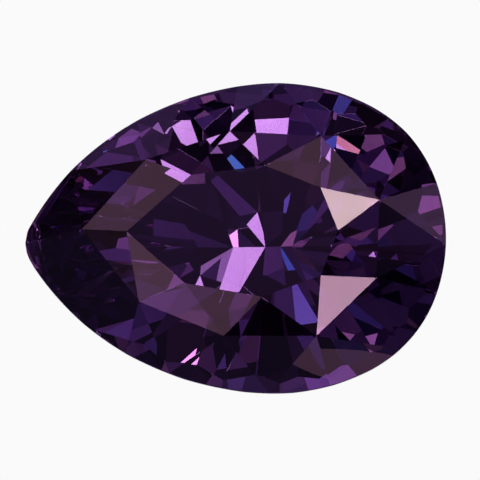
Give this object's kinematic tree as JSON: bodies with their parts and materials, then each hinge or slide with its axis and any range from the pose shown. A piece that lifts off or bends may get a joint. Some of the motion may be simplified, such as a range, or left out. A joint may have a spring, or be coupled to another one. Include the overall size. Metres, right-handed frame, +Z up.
{
  "type": "cut spinel gemstone",
  "caption": "Loose violet spinel in a pear cut, round at one end and pointed at the other, with a flat table, a faceted crown and a deep faceted pavilion, lying on one of its lower facets",
  "frame": {"origin": "middle of the bounding box in plan, on the surface that the stone lies on", "axes": "+X along the length of the pear, from the point to the round end; +Z up; the table leans towards -Y"},
  "size_m": [0.01, 0.0058, 0.0053],
  "materials": {
    "spinel": "polished clear violet crystal, see-through, with sharp flat facets and a finely ground girdle"
  },
  "bodies": {
    "root": {"spinel_stone": "spinel"}
  },
  "joints": []
}
